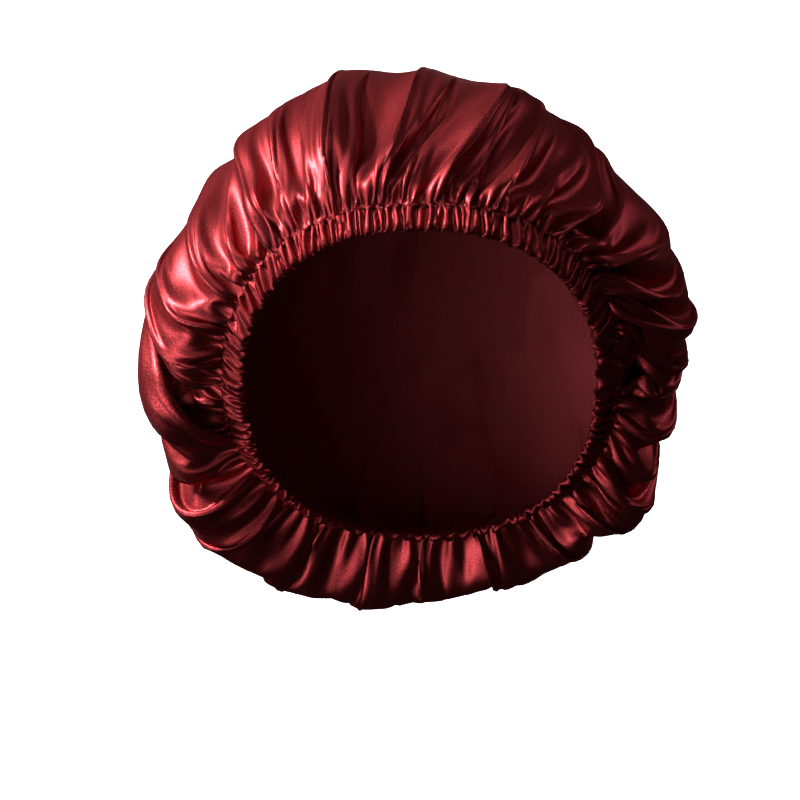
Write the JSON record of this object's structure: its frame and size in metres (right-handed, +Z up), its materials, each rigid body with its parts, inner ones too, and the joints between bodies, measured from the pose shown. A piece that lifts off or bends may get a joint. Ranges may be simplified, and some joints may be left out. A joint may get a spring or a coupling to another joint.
{
  "type": "sleep bonnet",
  "caption": "Satin sleep bonnet shown as worn: a full gathered crown on a ruched elastic band, open below for the head.",
  "frame": {"origin": "middle of the oval of the band's lower edge, where the bonnet sits round the head", "axes": "+Z up, the face looks along -Y, +X to the viewer's right; the band's oval is tilted 42 degrees, from the hairline at -Y down to the nape at +Y"},
  "size_m": [0.2503, 0.2453, 0.2588],
  "materials": {
    "crown_satin": "wine red satin, glossy face out",
    "band_satin": "wine red satin, ruched"
  },
  "bodies": {
    "root": {"crown": "crown_satin", "band": "band_satin"}
  },
  "joints": []
}
